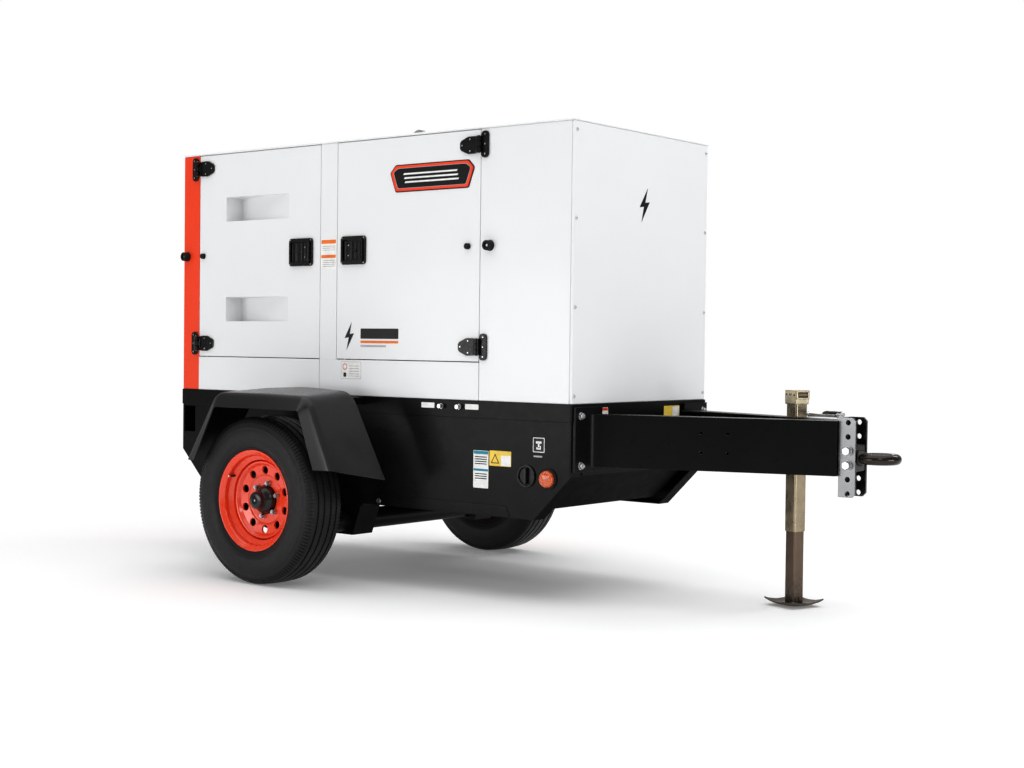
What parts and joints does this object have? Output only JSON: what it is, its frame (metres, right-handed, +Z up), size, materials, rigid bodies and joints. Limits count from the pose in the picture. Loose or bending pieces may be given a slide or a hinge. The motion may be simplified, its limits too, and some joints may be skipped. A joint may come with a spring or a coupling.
{
  "type": "towable diesel generator",
  "caption": "Sound-proofed diesel generator set on a single-axle trailer, with side service doors, base fuel tank, drawbar with lunette ring and a square screw jack.",
  "frame": {"origin": "middle of the overall footprint, on the ground that the tyres and the jack foot stand on", "axes": "+X towards the towing ring, +Y to the left-hand side as seen by a driver looking along +X, +Z up"},
  "size_m": [3.3121, 1.73, 1.931],
  "materials": {
    "white_paint": "gloss",
    "orange_paint": "gloss",
    "black_paint": "satin",
    "tyre_rubber": "matte",
    "yellow_zinc": "satin",
    "bolt_steel": "satin",
    "stainless": "satin",
    "cast_metal": "matte",
    "radiator_alloy": "matte",
    "black_plastic": "satin",
    "tank_plastic": "satin",
    "grey_plastic": "satin",
    "red_plastic": "gloss"
  },
  "bodies": {
    "trailer": {"base_frame": "black_paint", "deck_frame": "black_paint", "fuel_tank": "tank_plastic", "drawbar_right": "black_paint", "drawbar_left": "black_paint", "coupler_channel": "black_paint", "lunette_ring": "black_paint", "coupler_bolt_upper": "bolt_steel", "coupler_bolt_lower": "bolt_steel", "axle_beam": "black_paint", "fender_right": "black_paint", "fender_left": "black_paint", "side_frame_right": "white_paint", "side_frame_left": "white_paint", "front_panel": "white_paint", "rear_frame": "orange_paint", "roof": "white_paint", "outlet_grille": "black_paint", "lifting_frame": "black_paint", "hinge_front_right_lower": "black_paint", "hinge_front_right_upper": "black_paint", "hinge_rear_right_lower": "black_paint", "hinge_rear_right_upper": "black_paint", "hinge_front_left_lower": "black_paint", "hinge_front_left_upper": "black_paint", "hinge_rear_left_lower": "black_paint", "hinge_rear_left_upper": "black_paint", "jack_tube": "yellow_zinc", "engine_block": "cast_metal", "alternator": "cast_metal", "radiator": "radiator_alloy", "muffler": "stainless", "battery": "black_plastic", "air_filter": "black_plastic", "control_box": "grey_plastic", "terminal_box": "grey_plastic"},
    "fuel_filler_cap": {"fuel_cap": "black_plastic"},
    "arm_right": {"torsion_arm_right": "black_paint"},
    "wheel_right": {"tyre_right": "tyre_rubber", "wheel_rim_right": "orange_paint", "wheel_hub_right": "black_paint"},
    "rear_door_right": {"door_rear_right": "white_paint"},
    "rear_latch_right": {"latch_rear_right": "black_plastic"},
    "front_door_right": {"door_front_right": "white_paint"},
    "front_latch_right": {"latch_front_right": "black_plastic"},
    "arm_left": {"torsion_arm_left": "black_paint"},
    "wheel_left": {"tyre_left": "tyre_rubber", "wheel_rim_left": "orange_paint", "wheel_hub_left": "black_paint"},
    "rear_door_left": {"door_rear_left": "white_paint"},
    "rear_latch_left": {"latch_rear_left": "black_plastic"},
    "front_door_left": {"door_front_left": "white_paint"},
    "front_latch_left": {"latch_front_left": "black_plastic"},
    "control_door": {"control_door": "orange_paint"},
    "lug_cover": {"lug_cover": "black_plastic"},
    "jack_leg": {"jack_leg": "yellow_zinc"},
    "jack_crank": {"jack_crank": "black_paint"},
    "cooling_fan": {"cooling_fan": "black_plastic"},
    "stop_button": {"emergency_stop": "red_plastic"},
    "main_breaker": {"breaker_lever": "black_plastic"}
  },
  "joints": [
    {"name": "arm_right_swing", "type": "hinge", "parent": "trailer", "child": "arm_right", "pos_m": [-0.632, -0.587, 0.245], "axis": [0, 1, 0], "range_deg": [0, 10], "stiffness_Nm_per_rad": 8000, "springref_deg": -11.46},
    {"name": "wheel_right_spin", "type": "hinge", "parent": "arm_right", "child": "wheel_right", "pos_m": [-0.782, -0.7355, 0.3445], "axis": [0, 1, 0], "continuous": true},
    {"name": "rear_door_right_hinge", "type": "hinge", "parent": "trailer", "child": "rear_door_right", "pos_m": [-1.539, -0.485, 1.3755], "axis": [0, 0, -1], "range_deg": [0, 170]},
    {"name": "rear_latch_right_pull", "type": "hinge", "parent": "rear_door_right", "child": "rear_latch_right", "pos_m": [-0.946, -0.476, 1.376], "axis": [0, 0, -1], "range_deg": [0, 40], "stiffness_Nm_per_rad": 1, "springref_deg": -5.73},
    {"name": "front_door_right_hinge", "type": "hinge", "parent": "trailer", "child": "front_door_right", "pos_m": [0.1145, -0.485, 1.3755], "axis": [0, 0, 1], "range_deg": [0, 150]},
    {"name": "front_latch_right_pull", "type": "hinge", "parent": "front_door_right", "child": "front_latch_right", "pos_m": [-0.496, -0.476, 1.376], "axis": [0, 0, 1], "range_deg": [0, 40], "stiffness_Nm_per_rad": 1, "springref_deg": -5.73},
    {"name": "arm_left_swing", "type": "hinge", "parent": "trailer", "child": "arm_left", "pos_m": [-0.632, 0.587, 0.245], "axis": [0, 1, 0], "range_deg": [0, 10], "stiffness_Nm_per_rad": 8000, "springref_deg": -11.46},
    {"name": "wheel_left_spin", "type": "hinge", "parent": "arm_left", "child": "wheel_left", "pos_m": [-0.782, 0.7355, 0.3445], "axis": [0, 1, 0], "continuous": true},
    {"name": "rear_door_left_hinge", "type": "hinge", "parent": "trailer", "child": "rear_door_left", "pos_m": [-1.539, 0.485, 1.3755], "axis": [0, 0, 1], "range_deg": [0, 170]},
    {"name": "rear_latch_left_pull", "type": "hinge", "parent": "rear_door_left", "child": "rear_latch_left", "pos_m": [-0.946, 0.476, 1.376], "axis": [0, 0, 1], "range_deg": [0, 40], "stiffness_Nm_per_rad": 1, "springref_deg": -5.73},
    {"name": "front_door_left_hinge", "type": "hinge", "parent": "trailer", "child": "front_door_left", "pos_m": [0.1145, 0.485, 1.3755], "axis": [0, 0, -1], "range_deg": [0, 150]},
    {"name": "front_latch_left_pull", "type": "hinge", "parent": "front_door_left", "child": "front_latch_left", "pos_m": [-0.496, 0.476, 1.376], "axis": [0, 0, -1], "range_deg": [0, 40], "stiffness_Nm_per_rad": 1, "springref_deg": -5.73},
    {"name": "control_door_hinge", "type": "hinge", "parent": "trailer", "child": "control_door", "pos_m": [-1.656, 0.386, 1.515], "axis": [0, 0, -1], "range_deg": [0, 95]},
    {"name": "lug_cover_hinge", "type": "hinge", "parent": "trailer", "child": "lug_cover", "pos_m": [-1.656, 0, 1.206], "axis": [0, 1, 0], "range_deg": [0, 85]},
    {"name": "fuel_cap_turn", "type": "hinge", "parent": "trailer", "child": "fuel_filler_cap", "pos_m": [-1.422, -0.33, 0.8], "axis": [0, 0, 1], "range_deg": [0, 120]},
    {"name": "jack_leg_slide", "type": "slide", "parent": "trailer", "child": "jack_leg", "axis": [0, 0, 1], "range_m": [-0.1, 0.25]},
    {"name": "jack_crank_turn", "type": "hinge", "parent": "trailer", "child": "jack_crank", "pos_m": [1.13568, 0.28448, 0.736], "axis": [0.3136, 0.9496, 0], "continuous": true},
    {"name": "cooling_fan_spin", "type": "hinge", "parent": "trailer", "child": "cooling_fan", "pos_m": [-0.037, 0, 1.2], "axis": [1, 0, 0], "continuous": true},
    {"name": "stop_button_press", "type": "slide", "parent": "trailer", "child": "stop_button", "axis": [1, 0, 0], "range_m": [0, 0.005], "stiffness_N_per_m": 800, "springref_m": -0.004},
    {"name": "main_breaker_throw", "type": "hinge", "parent": "trailer", "child": "main_breaker", "pos_m": [-1.6225, 0.25, 1.4], "axis": [0, 1, 0], "range_deg": [-30, 30]}
  ]
}
